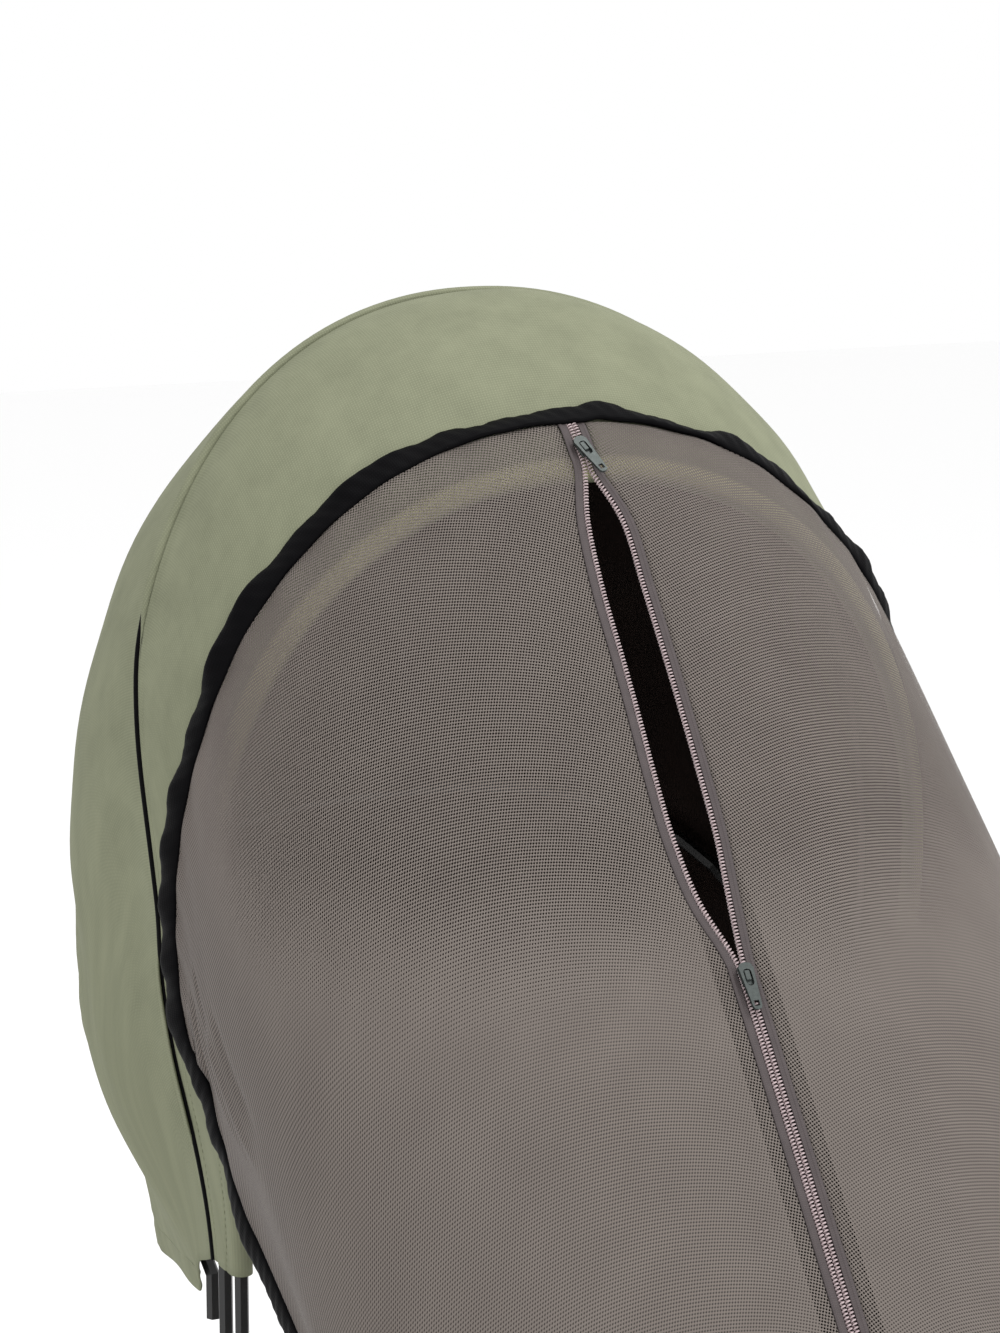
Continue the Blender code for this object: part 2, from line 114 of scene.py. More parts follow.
# Visor of the hood
# One curved panel of sage polyester canvas, black-coated inside. Its front hem is folded
# round the front hoop, and its rear edge is topstitched beside the piped seam.

HINGE = Vector((0.0, -0.1178, -0.4949))
HOOD_MIDDLE = HINGE + Vector((0.0, 0.05, 0.25))
CANVAS_THICKNESS = 0.0011
CANVAS_SPAN = 0.0015
HOOP_RADIUS = 0.0040
HEM_RADIUS = HOOP_RADIUS + 0.0008 + CANVAS_SPAN / 2
HEM_CROWN = 0.015
PIPING_RADIUS = 0.0020
ARC_SHARE = 0.72
# centre y, centre z, edge y, edge z, half width, edge half width, depth share where widest, squareness
HOOD_SECTIONS = [
    (-0.016, 0.427, -0.006, 0.000, 0.220, 0.200, 0.56, 2.15),
    (0.050, 0.487, 0.008, 0.000, 0.224, 0.200, 0.56, 2.15),
    (0.120, 0.505, 0.020, 0.000, 0.227, 0.200, 0.56, 2.15),
    (0.195, 0.445, 0.034, -0.005, 0.236, 0.200, 0.58, 2.35),
    (0.235, 0.330, 0.046, -0.010, 0.236, 0.200, 0.60, 2.50),
    (0.245, 0.200, 0.050, -0.020, 0.222, 0.198, 0.60, 2.60),
    (0.238, 0.080, 0.052, -0.026, 0.200, 0.196, 0.60, 2.60),
    (0.222, -0.040, 0.054, -0.030, 0.188, 0.196, 0.60, 2.60),
]
RIM, CREST, HEM = 0, 2, 7
# Low on each side the crest seam swings forward: share of the section from its edge, stations
SEAM_SWING = [(0.085, 0.0), (0.125, 0.40), (0.155, 0.85), (0.188, 0.66), (0.22, 0.30), (0.26, 0.0)]
HOOD_COLUMNS = 168
HOOD_STEP = 0.025


def blend(rows, position):
    """Smooth reading of a table at a fractional row."""
    table = np.array(rows, dtype=float)
    last = len(table) - 1
    start = int(min(max(math.floor(position), 0), last - 1))
    t = position - start
    before, after = table[max(start - 1, 0)], table[min(start + 2, last)]
    first, second = table[start], table[start + 1]
    slope_in, slope_out = (second - before) / 2, (after - first) / 2
    return ((2 * t**3 - 3 * t**2 + 1) * first + (t**3 - 2 * t**2 + t) * slope_in
            + (3 * t**2 - 2 * t**3) * second + (t**3 - t**2) * slope_out)


def half_section(row, inset=0.0, count=121):
    """Right half of a section, from its centre top to its side edge."""
    centre_y, centre_z, edge_y, edge_z, half_width, edge_width, share, square = row
    down = np.array([edge_y - centre_y, edge_z - centre_z])
    depth = np.linalg.norm(down)
    down = down / depth
    shoulder = share * depth - inset
    half_width, edge_width = half_width - inset, edge_width - inset
    t = np.linspace(0.0, 1.0, count)
    turn = np.clip(t / ARC_SHARE, 0.0, 1.0) * math.pi / 2
    rest = np.clip((t - ARC_SHARE) / (1 - ARC_SHARE), 0.0, 1.0)
    x = half_width * np.sin(turn) ** (2 / square)
    x = x + (edge_width - half_width) * (1 - np.cos(math.pi * rest)) / 2
    fall = inset + shoulder * (1 - np.clip(np.cos(turn), 0.0, 1.0) ** (2 / square))
    fall = fall + (depth - inset - shoulder) * rest
    return np.stack([x, centre_y + down[0] * fall + HINGE.y, centre_z + down[1] * fall + HINGE.z], axis=1)


def arc_lengths(line):
    return np.concatenate([[0.0], np.cumsum(np.linalg.norm(np.diff(line, axis=0), axis=1))])


def read_line(line, distances):
    """Points at given distances along a line."""
    lengths = arc_lengths(line)
    return np.stack([np.interp(distances, lengths, line[:, axis]) for axis in range(3)], axis=1)


def whole_section(row, columns, inset=0.0):
    """A section from left edge to right edge in equal steps."""
    half = half_section(row, inset)
    right = read_line(half, np.linspace(0.0, arc_lengths(half)[-1], columns // 2 + 1))
    return np.vstack([right[::-1] * (-1.0, 1.0, 1.0), right[1:]])


def unit(vectors):
    return vectors / np.linalg.norm(vectors, axis=-1, keepdims=True)


def grid_faces(rows, columns):
    return [(r * columns + c, r * columns + c + 1, (r + 1) * columns + c + 1, (r + 1) * columns + c)
            for r in range(rows - 1) for c in range(columns - 1)]


def grid_normals(grid, inside):
    """Unit normals of a grid of points, turned away from a point inside the piece."""
    normals = unit(np.cross(np.gradient(grid, axis=0), np.gradient(grid, axis=1)))
    r, c = grid.shape[0] // 2, grid.shape[1] // 4
    return normals if np.dot(normals[r, c], grid[r, c] - np.array(inside)) > 0 else -normals


def cloth(name, grid, flat_map, inside, thickness, finish, lining=None):
    """A thin closed sheet on a grid of points, with the cut's own metres as its UV map."""
    rows, columns = grid.shape[:2]
    mesh = bpy.data.meshes.new(name)
    mesh.from_pydata(grid.reshape(-1, 3).tolist(), [], grid_faces(rows, columns))
    layer = mesh.uv_layers.new(name="cut")
    corner_points = np.empty(len(mesh.loops), dtype=np.int32)
    mesh.loops.foreach_get("vertex_index", corner_points)
    layer.data.foreach_set("uv", flat_map.reshape(-1, 2)[corner_points].astype(np.float32).ravel())
    face = mesh.polygons[len(mesh.polygons) // 2 + columns // 4]
    r, c = divmod(face.vertices[0], columns)
    if np.dot(np.array(face.normal), grid_normals(grid, inside)[r, c]) < 0:
        mesh.flip_normals()
    made = bpy.data.objects.new(name, mesh)
    bpy.context.scene.collection.objects.link(made)
    mesh.materials.append(finish)
    mesh.materials.append(lining or finish)
    skin = made.modifiers.new("thickness", "SOLIDIFY")
    skin.thickness = thickness
    skin.offset = 0.0
    skin.material_offset = 1 if lining else 0
    bpy.ops.object.select_all(action="DESELECT")
    made.select_set(True)
    bpy.context.view_layer.objects.active = made
    bpy.ops.object.modifier_apply(modifier=skin.name)
    bpy.ops.object.shade_smooth()
    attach(made, "root")
    return made


def cut_map(grid, middle_column=None):
    """Flat metres of a grid: across it from the middle column, and along each column."""
    across = np.linalg.norm(np.diff(grid, axis=1), axis=2)
    across = np.concatenate([np.zeros((len(grid), 1)), np.cumsum(across, axis=1)], axis=1)
    if middle_column is not None:
        across = across - across[:, middle_column:middle_column + 1]
    along = np.linalg.norm(np.diff(grid, axis=0), axis=2)
    along = np.concatenate([np.zeros((1, grid.shape[1])), np.cumsum(along, axis=0)])
    return np.stack([across, along], axis=2)


def woven(made, shader, place, thread_mm, strength, dark, light, mottle):
    """Plain weave: crossing threads as bump and a small change of colour, with soft mottling."""
    threads = []
    for direction in ("X", "Y"):
        threads.append(add(made, "ShaderNodeTexWave", {
            "wave_type": "BANDS", "bands_direction": direction, "wave_profile": "SIN",
            "Scale": 2 * math.pi * 1000 / (20 * thread_mm), "Distortion": 0.25, "Detail": 1.0,
            "Detail Scale": 2.0}, {"Vector": place}))
    weave = add(made, "ShaderNodeMath", {"operation": "MULTIPLY"},
                {0: threads[0].outputs["Fac"], 1: threads[1].outputs["Fac"]})
    cloud = add(made, "ShaderNodeTexNoise", {"Scale": mottle, "Detail": 4.0, "Roughness": 0.6},
                {"Vector": place})
    mix = add(made, "ShaderNodeMath", {"operation": "MULTIPLY_ADD", 1: 0.55},
              {0: weave.outputs["Value"], 2: cloud.outputs["Fac"]})
    tint = add(made, "ShaderNodeMix", {"data_type": "RGBA", 6: colour(dark), 7: colour(light)},
               {0: mix.outputs["Value"]})
    bump = add(made, "ShaderNodeBump", {"Strength": strength, "Distance": 0.0003},
               {"Height": weave.outputs["Value"]})
    made.node_tree.links.new(tint.outputs[2], shader.inputs["Base Color"])
    made.node_tree.links.new(bump.outputs["Normal"], shader.inputs["Normal"])


def sage_canvas(name, hem_highlight):
    # Matte plain weave; threads 0.45 mm apart are drawn at 1.6 mm so that they show
    made, shader = new_material(name, 0.86)
    shader.inputs["Specular IOR Level"].default_value = 0.2
    place = add(made, "ShaderNodeUVMap", {"uv_map": "cut"}).outputs["UV"]
    woven(made, shader, place, 1.6, 0.30, "#6c6f5b", "#8a8d75", 34.0)
    if hem_highlight:
        # The front hem, rolled tight round its hoop, gets a painted highlight: paler along its crown over the top,
        # where the light falls on it
        flat = add(made, "ShaderNodeSeparateXYZ", {}, {"Vector": place})
        below = add(made, "ShaderNodeMath", {"operation": "SUBTRACT", 1: HEM_CROWN}, {0: flat.outputs["Y"]})
        apart = add(made, "ShaderNodeMath", {"operation": "ABSOLUTE"}, {0: below.outputs["Value"]})
        crown = add(made, "ShaderNodeMapRange", {"interpolation_type": "SMOOTHSTEP", "From Min": 0.0085,
                                                 "From Max": 0.0035, "To Min": 0.0, "To Max": 1.0},
                    {"Value": apart.outputs["Value"]})
        across = add(made, "ShaderNodeMath", {"operation": "ABSOLUTE"}, {0: flat.outputs["X"]})
        over_top = add(made, "ShaderNodeMapRange", {"interpolation_type": "SMOOTHSTEP", "From Min": 0.44,
                                                    "From Max": 0.34, "To Min": 0.0, "To Max": 1.0},
                       {"Value": across.outputs["Value"]})
        painted_highlight = add(made, "ShaderNodeMath", {"operation": "MULTIPLY"},
                   {0: crown.outputs["Result"], 1: over_top.outputs["Result"]})
        weave = shader.inputs["Base Color"].links[0].from_socket
        # Painted highlight: the pale colour stands in for light on the hem's crown
        pale = add(made, "ShaderNodeMix", {"data_type": "RGBA", 7: colour("#d3d0a6")},
                   {0: painted_highlight.outputs["Value"], 6: weave})
        made.node_tree.links.new(pale.outputs[2], shader.inputs["Base Color"])
    return made


def black_coating():
    # Smooth, slightly brown-black coated back of the canvas
    made, shader = new_material("black_coated_canvas_back", 0.8)
    shader.inputs["Specular IOR Level"].default_value = 0.2
    place = add(made, "ShaderNodeUVMap", {"uv_map": "cut"}).outputs["UV"]
    woven(made, shader, place, 1.6, 0.2, "#150e0b", "#241813", 60.0)
    return made


def soft_unevenness(grid, normals, scale, height, seed):
    """Broad, irregular hollows of cloth that isn't quite taut."""
    shift = Vector((seed, 3.1 * seed, 0.7 * seed))
    lift = np.array([noise.noise(Vector(p) * scale + shift) for p in grid.reshape(-1, 3)])
    return grid + normals * (lift.reshape(grid.shape[:2])[..., None] * height)


def smooth_step(values, low, high):
    t = np.clip((values - low) / (high - low), 0.0, 1.0)
    return t * t * (3 - 2 * t)


hood_table = np.stack([whole_section(blend(HOOD_SECTIONS, s), HOOD_COLUMNS)
                       for s in np.arange(0.0, HEM + HOOD_STEP / 2, HOOD_STEP)])
hood_shares = np.linspace(0.0, 1.0, HOOD_COLUMNS + 1)
from_side = np.minimum(hood_shares, 1.0 - hood_shares)
seam = CREST - np.interp(from_side, *np.array(SEAM_SWING).T)
for _ in range(6):
    seam[1:-1] = (seam[:-2] + 2 * seam[1:-1] + seam[2:]) / 4


def hood_row(stations):
    """One point in each column of the hood, each at its own station."""
    place = np.clip(stations / HOOD_STEP, 0.0, len(hood_table) - 1.001)
    low = place.astype(int)
    t = (place - low)[:, None]
    columns = np.arange(HOOD_COLUMNS + 1)
    return hood_table[low, columns] * (1 - t) + hood_table[low + 1, columns] * t


seam_line = hood_row(seam)
seam_along = unit(np.gradient(seam_line, axis=0))
seam_fore = hood_row(seam - 0.3) - hood_row(seam + 0.3)
seam_fore = unit(seam_fore - seam_along * np.einsum("ij,ij->i", seam_fore, seam_along)[:, None])
seam_out = np.cross(seam_along, seam_fore)
seam_out *= np.sign(np.einsum("ij,ij->i", seam_out, seam_line - np.array(HOOD_MIDDLE)))[:, None]


def lap_rows(direction, cover):
    """Edge of a panel that laps over the piping where cover is 1, and stops beside it where it's 0."""
    rows = []
    for step, (beside, above) in enumerate([(2.5, 0.0), (3.3, 0.9), (2.4, 2.0), (1.0, 3.0), (-0.8, 3.0),
                                            (-1.7, 2.6)]):
        beside = cover * beside + (1 - cover) * (2.5 - 0.02 * step)
        lap = seam_fore * (direction * beside / 1000)[:, None] + seam_out * (cover * above / 1000)[:, None]
        rows.append(seam_line + lap)
    return rows


def visor_grid():
    """From the hem's end inside the rim, round the front hoop and back to the crest seam."""
    hoop = whole_section(blend(HOOD_SECTIONS, RIM), HOOD_COLUMNS, HEM_RADIUS)
    outer = whole_section(blend(HOOD_SECTIONS, RIM), HOOD_COLUMNS)
    along = unit(np.gradient(hoop, axis=0))
    outward = outer - hoop
    outward = unit(outward - along * np.einsum("ij,ij->i", outward, along)[:, None])
    forward = unit(np.cross(outward, along))
    forward *= -np.sign(forward[:, 1:2])
    ahead = hood_row(np.full(HOOD_COLUMNS + 1, 0.45))
    rise = np.einsum("ij,ij->i", ahead - hoop, outward) - HEM_RADIUS
    run = -np.einsum("ij,ij->i", ahead - hoop, forward)
    leave = np.clip(np.arctan2(rise, run), 0.0, math.radians(50))
    rows = []
    for share in np.linspace(0.0, 1.0, 15):
        turn = (math.radians(205) * (1 - share) + leave * share)[:, None]
        rows.append(hoop + HEM_RADIUS * (np.cos(turn) * outward + np.sin(turn) * forward))
    for share in np.linspace(0.0, 1.0, 8)[1:-1]:
        rows.append(rows[14] * (1 - share) + ahead * share)
    for share in np.linspace(0.0, 1.0, 36)[:-1]:
        rows.append(hood_row(0.45 * (1 - share) + (seam - 0.06) * share))
    return np.stack(rows + lap_rows(1.0, smooth_step(from_side, 0.262, 0.288)))


def press(grid, normals, distance, offset, width, depth):
    """A line pressed into a sheet at a distance from its edge, by a row of stitches."""
    return grid - normals * (np.exp(-((distance - offset) / width) ** 2) * depth)[..., None]


def stitches(name, line, outs, finish, length=0.0030, gap=0.0009, radius=0.00028):
    """A row of thread stitches lying on a line of a cloth, as one mesh."""
    at = arc_lengths(line)
    starts = np.arange(gap, at[-1] - length, length + gap)
    points, faces = [], []
    for start in starts:
        base = len(points)
        for share, size, sink in ((0.0, 0.3, 0.00035), (0.3, 1.0, 0.0), (0.7, 1.0, 0.0), (1.0, 0.3, 0.00035)):
            here = start + share * length
            middle = np.array([np.interp(here, at, line[:, k]) for k in range(3)])
            ahead = np.array([np.interp(here + 0.0005, at, line[:, k]) for k in range(3)])
            out = unit(np.array([np.interp(here, at, outs[:, k]) for k in range(3)]))
            side = unit(np.cross(ahead - middle, out))
            for turn in np.linspace(0, 2 * math.pi, 5, endpoint=False):
                points.append(middle - out * sink + radius * size * (math.cos(turn) * side + math.sin(turn) * out))
        for ring in range(3):
            for j in range(5):
                a, b = base + 5 * ring + j, base + 5 * ring + (j + 1) % 5
                faces.append((a, b, b + 5, a + 5))
        faces += [tuple(range(base + 4, base - 1, -1)), tuple(range(base + 15, base + 20))]
    mesh = bpy.data.meshes.new(name)
    mesh.from_pydata([tuple(p) for p in points], [], faces)
    work = bmesh.new()
    work.from_mesh(mesh)
    bmesh.ops.recalc_face_normals(work, faces=work.faces)
    work.to_mesh(mesh)
    work.free()
    mesh.shade_smooth()
    mesh.materials.append(finish)
    made = bpy.data.objects.new(name, mesh)
    bpy.context.scene.collection.objects.link(made)
    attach(made, "root")
    return made


def sewing_thread(name, dark, light):
    # Twisted polyester thread, softly glossy
    made, shader = new_material(name, 0.55)
    place = add(made, "ShaderNodeTexCoord")
    twist = add(made, "ShaderNodeTexNoise", {"Scale": 1500.0}, {"Vector": place.outputs["Object"]})
    tint = add(made, "ShaderNodeMix", {"data_type": "RGBA", 6: colour(dark), 7: colour(light)},
               {0: twist.outputs["Fac"]})
    made.node_tree.links.new(tint.outputs[2], shader.inputs["Base Color"])
    return made


def line_at(grid, normals, distance, offset, lift):
    """The line of a grid that lies at a distance from its edge, with the outward direction."""
    row = np.abs(distance - offset).argmin(axis=0)
    columns = np.arange(grid.shape[1])
    outs = normals[row, columns]
    line = grid[row, columns] + outs * lift
    for _ in range(6):
        line[1:-1] = (line[:-2] + 2 * line[1:-1] + line[2:]) / 4
    return line, outs


sage, coating = sage_canvas("sage_polyester_canvas", False), black_coating()
# This copy of the canvas carries a painted highlight along its front hem
sage_with_hem_highlight = sage_canvas("sage_canvas_with_painted_hem_highlight", True)
sage_thread = sewing_thread("sage_sewing_thread", "#6f745a", "#8c9074")
visor_smooth = visor_grid()
visor_edge = len(visor_smooth) - 6
visor_out = grid_normals(visor_smooth, HOOD_MIDDLE)
visor_map = cut_map(visor_smooth, HOOD_COLUMNS // 2)
to_seam = visor_map[visor_edge:visor_edge + 1, :, 1] - visor_map[..., 1]
to_rim = visor_map[..., 1] - visor_map[9:10, :, 1]
visor_fade = smooth_step(to_seam, 0.0, 0.02) * smooth_step(to_rim, 0.0, 0.03)
visor_wavy = soft_unevenness(visor_smooth, visor_out * visor_fade[..., None], 17.0, 0.0022, 1.3)
visor_wavy = press(visor_wavy, visor_out, to_seam, 0.0060, 0.0011, 0.0006)
visor_wavy = press(visor_wavy, visor_out, to_rim, 0.0130, 0.0012, 0.0006)
visor = cloth("canvas_visor", visor_wavy, visor_map, HOOD_MIDDLE, CANVAS_THICKNESS, sage_with_hem_highlight, coating)
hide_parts("hood_visor")
for label, distance, offset in (("outer", to_seam, 0.0060), ("front", to_rim, 0.0130)):
    line, outs = line_at(visor_wavy, visor_out, distance, offset, CANVAS_THICKNESS / 2 + 0.0001)
    stitches(f"visor_{label}_stitches", line, outs, sage_thread)


# Rear panel of the hood
# The same coated canvas, cut fuller than the visor. It drops from the crest seam to a
# bottom hem, and the rear bow pushes a soft bulge out low down.

REAR_FOLDS = [
    # station, share across from the left edge, half length in stations, width in shares, height
    (3.55, 0.14, 1.4, 0.030, -0.0030),
    (4.45, 0.20, 0.30, 0.070, -0.0030),
    (5.05, 0.20, 0.35, 0.060, 0.0035),
    (5.70, 0.172, 0.90, 0.009, -0.0030),
    (5.70, 0.158, 0.90, 0.008, 0.0018),
    (4.90, 0.30, 1.3, 0.045, -0.0040),
    (4.40, 0.52, 1.6, 0.060, -0.0050),
    (5.20, 0.70, 1.2, 0.040, -0.0045),
    (5.05, 0.80, 0.35, 0.060, 0.0035),
    (3.70, 0.88, 1.2, 0.028, -0.0030),
]


def rear_grid():
    rows = lap_rows(-1.0, smooth_step(from_side, 0.040, 0.060) * (1 - smooth_step(from_side, 0.128, 0.145)))[::-1]
    for share in np.linspace(0.0, 1.0, 88):
        rows.append(hood_row((seam + 0.09) * (1 - share) + HEM * share))
    return np.stack(rows)


rear_smooth = rear_grid()
rear_out = grid_normals(rear_smooth, HOOD_MIDDLE)
rear_map = cut_map(rear_smooth, HOOD_COLUMNS // 2)
from_seam = rear_map[..., 1] - rear_map[5:6, :, 1]
to_hem = rear_map[-1:, :, 1] - rear_map[..., 1]
rear_fade = smooth_step(from_seam, 0.0, 0.03)
folded = soft_unevenness(rear_smooth, rear_out * rear_fade[..., None], 13.0, 0.0035, 4.7)
stations = np.concatenate([np.full(6, CREST), np.linspace(CREST + 0.09, HEM, 88)])[:, None]
for station, share, reach, width, height in REAR_FOLDS:
    across = hood_shares[None, :] - share - 0.018 * (station - stations) * np.sign(0.5 - share)
    lift = np.exp(-((stations - station) / reach) ** 2 - (across / width) ** 2)
    folded = folded + rear_out * (lift * rear_fade * height)[..., None]
# Over the rear hoop the cloth can't sink in
hoop_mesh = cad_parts["hoop_rear"].data
hoop_tree = BVHTree.FromPolygons([v.co.copy() for v in hoop_mesh.vertices],
                                 [tuple(p.vertices) for p in hoop_mesh.polygons])
off_hoop = np.array([hoop_tree.find_nearest(Vector(p))[3] for p in rear_smooth.reshape(-1, 3)])
off_hoop = off_hoop.reshape(rear_smooth.shape[:2])
sunk = np.einsum("ijk,ijk->ij", folded - rear_smooth, rear_out)
deepest = -0.0001 - 0.0060 * smooth_step(off_hoop, 0.002, 0.030)
folded = folded + rear_out * np.maximum(deepest - sunk, 0.0)[..., None]
folded = press(folded, rear_out, from_seam, 0.0060, 0.0012, 0.0005)
folded = press(folded, rear_out, to_hem, 0.0140, 0.0015, 0.0006)
rear = cloth("canvas_rear_panel", folded, rear_map, HOOD_MIDDLE, CANVAS_THICKNESS, sage, coating)
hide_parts("hood_rear")
line, outs = line_at(folded, rear_out, to_hem, 0.0140, CANVAS_THICKNESS / 2 + 0.0001)
stitches("rear_hem_stitches", line, outs, sage_thread)


# Piping in the crest seam
# A 4 mm cord covered with black bias tape, sewn between visor and rear panel.

def tube_mesh(name, line, radius, sides, finish):
    """A closed round tube along a line, with the length and the turn as its UV map."""
    tangents = unit(np.gradient(line, axis=0))
    rings = []
    side = np.array([0.0, 1.0, 0.3])
    for point, tangent in zip(line, tangents):
        side = unit(side - tangent * np.dot(side, tangent))
        up = np.cross(tangent, side)
        turns = np.linspace(0, 2 * math.pi, sides, endpoint=False)
        rings.append([point + radius * (math.cos(a) * side + math.sin(a) * up) for a in turns])
    return ring_mesh(name, np.array(rings), finish, closed=False)


def ring_mesh(name, rings, finish, closed):
    """Equal rings joined in a row, closed into a loop or capped at both ends."""
    count, sides = rings.shape[:2]
    last = count if closed else count - 1
    faces = [(i * sides + j, i * sides + (j + 1) % sides, (i + 1) % count * sides + (j + 1) % sides,
              (i + 1) % count * sides + j) for i in range(last) for j in range(sides)]
    if not closed:
        faces += [tuple(range(sides)), tuple(range((count - 1) * sides, count * sides))[::-1]]
    mesh = bpy.data.meshes.new(name)
    mesh.from_pydata(rings.reshape(-1, 3).tolist(), [], faces)
    centres = rings.mean(axis=1)
    along = arc_lengths(centres)
    round_length = float(np.linalg.norm(rings[0] - np.roll(rings[0], 1, axis=0), axis=1).sum())
    layer = mesh.uv_layers.new(name="cut")
    for polygon in mesh.polygons:
        for corner, point in zip(polygon.loop_indices, polygon.vertices):
            i, j = divmod(point, sides)
            layer.data[corner].uv = (round_length * j / sides, along[i])
    work = bmesh.new()
    work.from_mesh(mesh)
    bmesh.ops.recalc_face_normals(work, faces=work.faces)
    work.to_mesh(mesh)
    work.free()
    mesh.shade_smooth()
    mesh.materials.append(finish)
    made = bpy.data.objects.new(name, mesh)
    bpy.context.scene.collection.objects.link(made)
    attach(made, "root")
    return made


def black_tape():
    # Matte black polyester tape; its fine ribs are drawn 1.3 mm apart so that they show
    made, shader = new_material("black_polyester_tape", 0.55)
    shader.inputs["Specular IOR Level"].default_value = 0.05
    place = add(made, "ShaderNodeUVMap", {"uv_map": "cut"}).outputs["UV"]
    woven(made, shader, place, 1.3, 0.3, "#020203", "#09080a", 90.0)
    return made


black = black_tape()
piping = tube_mesh("crest_piping", seam_line, PIPING_RADIUS, 12, black)
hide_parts("hood_piping")


# Net panels
# Two panels of warm-grey knitted polyester mesh, stretched from the elastic casing on the
# visor over the front rim and down to the foot. Pull lines run down from the left shoulder.

NET_SECTIONS = [
    (-0.004, 0.446, 0.004, 0.130, 0.224, 0.214, 0.80, 2.15),
    (-0.020, 0.430, -0.014, 0.112, 0.225, 0.214, 0.78, 2.20),
    (-0.088, 0.340, -0.039, 0.073, 0.227, 0.214, 0.70, 2.40),
    (-0.158, 0.250, -0.093, 0.039, 0.228, 0.214, 0.66, 2.50),
    (-0.228, 0.160, -0.151, 0.001, 0.228, 0.213, 0.66, 2.50),
    (-0.297, 0.070, -0.200, -0.049, 0.226, 0.211, 0.66, 2.50),
    (-0.364, -0.020, -0.245, -0.114, 0.222, 0.207, 0.66, 2.50),
    (-0.426, -0.120, -0.282, -0.187, 0.216, 0.202, 0.66, 2.50),
    (-0.475, -0.220, -0.320, -0.260, 0.208, 0.194, 0.66, 2.50),
    (-0.498, -0.300, -0.375, -0.315, 0.198, 0.184, 0.66, 2.50),
    (-0.494, -0.345, -0.390, -0.345, 0.190, 0.176, 0.66, 2.50),
]
FOOT = len(NET_SECTIONS) - 1
NET_MIDDLE = HINGE + Vector((0.0, -0.12, -0.05))
NET_THICKNESS = 0.0004
NET_LIFT = 0.0032
CASING_LIFT = 0.0036
COIL_RADIUS = 0.00145
CLOSED_LIP = 0.0016
TAPE_WIDTH = 0.0045
TAPE_THICKNESS = 0.0007
SEAM_GAP = 0.0003
LENS_START, LENS_END = 1.10, 3.60
# Zip opening between the sliders, in equal steps: left lip, right lip, in mm from the zip line
LENS = [(1.6, 1.6), (9.0, 11.5), (12.0, 12.0), (12.5, 12.0), (13.5, 11.5),
        (15.0, 10.5), (15.5, 9.0), (12.0, 5.0), (1.6, 1.6)]

visor_top = visor_wavy[14:visor_edge + 1]
visor_tree = BVHTree.FromPolygons([Vector(p) for p in visor_top.reshape(-1, 3)],
                                  grid_faces(*visor_top.shape[:2]))
rim_hoop = whole_section(blend(HOOD_SECTIONS, RIM), 900, HEM_RADIUS)


def off_visor(point):
    """Nearest point of the visor and the direction out of the hood there."""
    near, normal, _, _ = visor_tree.find_nearest(Vector(point))
    return near, normal if normal.dot(near - HOOD_MIDDLE) > 0 else -normal


def push(height, clearance):
    """How far to move a point that is closer than the clearance, starting softly."""
    return 0.0007 * math.log1p(math.exp(min((clearance - height) / 0.0007, 40.0)))


def lifted(point, clearance):
    """The point, moved clear of the visor and of the hem round its front hoop."""
    place = Vector(point)
    near, normal = off_visor(point)
    height = (place - near).dot(normal)
    if (place - near - normal * height).length < 0.0008:
        place += normal * push(height, clearance)
    closest = rim_hoop[np.linalg.norm(rim_hoop - np.array(place), axis=1).argmin()]
    apart = place - Vector(closest)
    place += apart.normalized() * push(apart.length, HEM_RADIUS + clearance)
    return np.array(place)


def lip(station, side):
    """Distance from the zip line to the middle of a coil."""
    share = (station - LENS_START) / (LENS_END - LENS_START)
    if not 0 < share < 1:
        return CLOSED_LIP
    left, right = blend(LENS, share * (len(LENS) - 1)) / 1000
    return max(left if side < 0 else right, CLOSED_LIP)


def net_line(station, side, distances):
    """Points of one net section at distances from the zip line, kept off the visor."""
    half = half_section(blend(NET_SECTIONS, station))
    points = read_line(half, distances) * (side, 1.0, 1.0)
    if station < 0.001:
        return np.array([np.array(near + out * CASING_LIFT) for near, out in map(off_visor, points)])
    if station < 2.5:
        return np.array([lifted(p, NET_LIFT) for p in points])
    return points


def section_length(station):
    return arc_lengths(half_section(blend(NET_SECTIONS, station)))[-1]


NET_STATIONS = np.concatenate([np.linspace(0.0, 1.0, 11)[:-1], np.linspace(1.0, LENS_START, 5)[:-1],
                               np.linspace(LENS_START, LENS_END, 71)[:-1], np.linspace(LENS_END, FOOT, 166)])
NET_COLUMNS = 124


def panel_grid(side):
    rows = []
    for station in NET_STATIONS:
        inner = lip(station, side) + COIL_RADIUS + SEAM_GAP + TAPE_WIDTH + SEAM_GAP
        rows.append(net_line(station, side, np.linspace(inner, section_length(station), NET_COLUMNS + 1)))
    return np.stack(rows)


PULL_LINES = [
    # start station, start distance from the zip, end station, end distance, half width, height; metres
    (1.15, 0.395, 3.05, 0.330, 0.0045, 0.0024),
    (1.20, 0.372, 2.10, 0.345, 0.0038, -0.0018),
    (1.65, 0.362, 3.20, 0.312, 0.0048, 0.0027),
    (1.85, 0.338, 3.10, 0.300, 0.0042, -0.0022),
    (2.30, 0.410, 4.20, 0.365, 0.0070, 0.0018),
    (1.45, 0.430, 3.60, 0.400, 0.0060, -0.0018),
]


def pull_lines(grid, normals, distances, lines):
    """Soft troughs and ridges that run down the net from where it is pulled."""
    stations = NET_STATIONS[:, None]
    for start, start_at, end, end_at, width, height in lines:
        share = (stations - start) / (end - start)
        middle = start_at + (end_at - start_at) * share + 0.004 * np.sin(3.0 * share)
        ends = np.clip(share / 0.25, 0, 1) * np.clip((1 - share) / 0.35, 0, 1)
        ends = ends * ends * (3 - 2 * ends)
        lift = np.exp(-((distances - middle) / width) ** 2) * ends * height
        grid = grid + normals * lift[..., None]
    return grid


